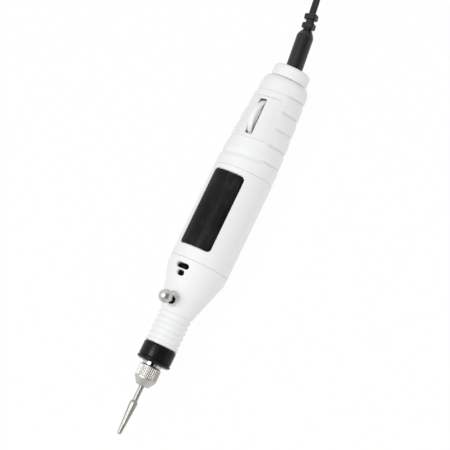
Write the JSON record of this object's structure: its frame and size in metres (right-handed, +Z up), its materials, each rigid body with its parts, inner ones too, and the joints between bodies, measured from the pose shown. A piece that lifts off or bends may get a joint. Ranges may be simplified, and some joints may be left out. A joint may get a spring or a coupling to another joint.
{
  "type": "electric engraving pen",
  "caption": "Pen-shaped rotary engraver with a tapered burr in a knurled collet nut, a ball-knob spindle lock, a thumb wheel for speed, and a coiled lead to a wall adapter.",
  "frame": {"origin": "under the middle of the pen, between the bit's tip and the rear cap's end, on the surface that the barrel lies on", "axes": "+X along the pen from the bit's tip to the lead, +Z up, the way that the thumb wheel, plate and lock knob face"},
  "size_m": [0.3722, 0.0523, 0.044],
  "materials": {
    "white_shell": "glossy white moulded plastic",
    "black_cap": "semi-gloss black moulded plastic",
    "plate": "plain glossy black plate",
    "nickel": "nickel-plated, lightly worn",
    "steel": "turned and ground steel",
    "brass": "turned brass",
    "zinc": "zinc-plated pressed steel",
    "copper": "enamelled copper wire",
    "ferrite": "sintered ferrite",
    "carbon": "matt black carbon and moulding",
    "cream": "cream moulded plastic",
    "board": "green lacquered board",
    "red_wire": "red PVC insulation",
    "cord": "charcoal flexible PVC",
    "adapter": "charcoal moulded plastic with a fine grain"
  },
  "bodies": {
    "housing": {"front_bearing_outer_ring": "steel", "rear_bearing_outer_ring": "steel", "nose_cap": "black_cap", "nose_housing": "white_shell", "lock_guide_bush": "brass", "lock_retainer_ring": "black_cap", "motor_mount_plate": "cream", "motor_screw_upper": "steel", "motor_screw_lower": "steel", "motor_can": "zinc", "motor_shaft_bush": "brass", "motor_end_cap": "cream", "motor_magnet_upper": "ferrite", "motor_magnet_lower": "ferrite", "motor_brush_left": "carbon", "motor_brush_right": "carbon", "barrel_housing": "white_shell", "label_plate": "plate", "grip_housing": "white_shell", "wheel_cover_plate": "white_shell", "speed_potentiometer": "carbon", "circuit_board": "board", "motor_wire_red": "red_wire", "motor_wire_black": "cord", "rear_cap": "white_shell", "socket_body": "black_cap", "socket_pin": "brass"},
    "spindle": {"spindle": "nickel", "front_bearing_inner_ring": "steel", "rear_bearing_inner_ring": "steel", "spindle_retainer_clip": "steel", "shaft_coupling": "black_cap", "motor_shaft": "steel", "motor_core": "steel", "motor_winding_1": "copper", "motor_winding_2": "copper", "motor_winding_3": "copper", "motor_commutator": "copper"},
    "front_cage": {"front_bearing_balls": "steel"},
    "rear_cage": {"rear_bearing_balls": "steel"},
    "collet": {"collet": "brass"},
    "nut": {"collet_nut": "nickel"},
    "bit": {"engraving_bit": "steel"},
    "lock": {"lock_knob": "nickel", "lock_pin": "steel", "lock_spring": "steel"},
    "speed_wheel": {"speed_wheel": "white_shell", "wheel_shaft": "steel"},
    "lead": {"plug_contact_barrel": "nickel", "plug_overmould": "cord", "cord_lead": "cord", "cord_coil": "cord", "cord_tail": "cord", "coil_tie": "carbon", "adapter_back": "adapter", "adapter_front": "adapter", "adapter_relief": "cord", "adapter_blade_left": "nickel", "adapter_blade_right": "nickel"}
  },
  "joints": [
    {"name": "spindle_spin", "type": "hinge", "parent": "housing", "child": "spindle", "pos_m": [-0.03225, 0, 0.014], "axis": [-1, 0, 0], "continuous": true},
    {"name": "front_cage_spin", "type": "hinge", "parent": "housing", "child": "front_cage", "pos_m": [-0.04275, 0, 0.014], "axis": [-1, 0, 0], "continuous": true},
    {"name": "rear_cage_spin", "type": "hinge", "parent": "housing", "child": "rear_cage", "pos_m": [-0.02145, 0, 0.014], "axis": [-1, 0, 0], "continuous": true},
    {"name": "collet_release", "type": "slide", "parent": "spindle", "child": "collet", "axis": [-1, 0, 0], "range_m": [0, 0.00225]},
    {"name": "nut_turn", "type": "hinge", "parent": "collet", "child": "nut", "pos_m": [-0.06325, 0, 0.014], "axis": [-1, 0, 0], "range_deg": [0, 1080]},
    {"name": "bit_slide", "type": "slide", "parent": "collet", "child": "bit", "axis": [-1, 0, 0], "range_m": [0, 0.025]},
    {"name": "lock_press", "type": "slide", "parent": "housing", "child": "lock", "axis": [0, 0, -1], "range_m": [0, 0.0018], "stiffness_N_per_m": 300, "springref_m": -0.003, "deforming": ["lock_spring"]},
    {"name": "speed_wheel_turn", "type": "hinge", "parent": "housing", "child": "speed_wheel", "pos_m": [0.0639, 0.0002, 0.0199], "axis": [0, 1, 0], "range_deg": [0, 280]},
    {"name": "plug_pull", "type": "slide", "parent": "housing", "child": "lead", "axis": [1, 0, 0], "range_m": [0, 0.012]}
  ],
  "couplings": [
    {"joint": "front_cage_spin", "follows": "spindle_spin", "ratio": 0.42},
    {"joint": "rear_cage_spin", "follows": "spindle_spin", "ratio": 0.42},
    {"joint": "nut_turn", "follows": "collet_release", "rad_per_m": 8377.6}
  ]
}
